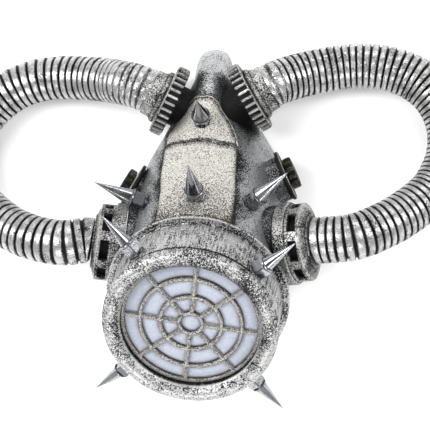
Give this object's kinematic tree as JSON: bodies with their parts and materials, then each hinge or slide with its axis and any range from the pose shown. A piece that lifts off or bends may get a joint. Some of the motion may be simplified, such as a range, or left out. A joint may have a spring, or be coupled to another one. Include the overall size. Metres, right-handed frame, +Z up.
{
  "type": "spiked costume mask",
  "caption": "Half-face costume respirator: hollow shell over nose and mouth, spiked mouth drum with a pierced grille, windowed and knurled side ports, and a corrugated hose looped on each side.",
  "frame": {"origin": "middle of the mask on the table plane, under the centre of its box without the two hoses", "axes": "+Z up from the table out of the face, +Y to the nose, -Y to the chin, +X to the right of someone facing the mask"},
  "size_m": [0.3081, 0.209, 0.1055],
  "materials": {
    "silver_paint": "antique silver paint with a dark wash",
    "spike_metal": "polished dark silver",
    "felt": "pale matt felt",
    "gear_bronze": "dark bronze",
    "hose_silver": "bright silver paint with black specks"
  },
  "bodies": {
    "root": {"mask_shell": "silver_paint", "canister": "silver_paint", "filter_pad": "felt", "grille": "silver_paint", "nose_spike_upper": "spike_metal", "nose_spike_lower": "spike_metal", "cheek_spike_left": "spike_metal", "cheek_spike_right": "spike_metal", "canister_spike_upper_right": "spike_metal", "canister_spike_lower_right": "spike_metal", "canister_spike_lower_left": "spike_metal", "canister_spike_upper_left": "spike_metal", "lower_port_left": "silver_paint", "upper_cap_left": "silver_paint", "hose_cuff_left": "hose_silver", "cheek_plate_left": "gear_bronze", "cheek_gear_left": "gear_bronze", "hose_left": "hose_silver", "lower_port_right": "silver_paint", "upper_cap_right": "silver_paint", "hose_cuff_right": "hose_silver", "cheek_plate_right": "gear_bronze", "cheek_gear_right": "gear_bronze", "hose_right": "hose_silver"}
  },
  "joints": []
}
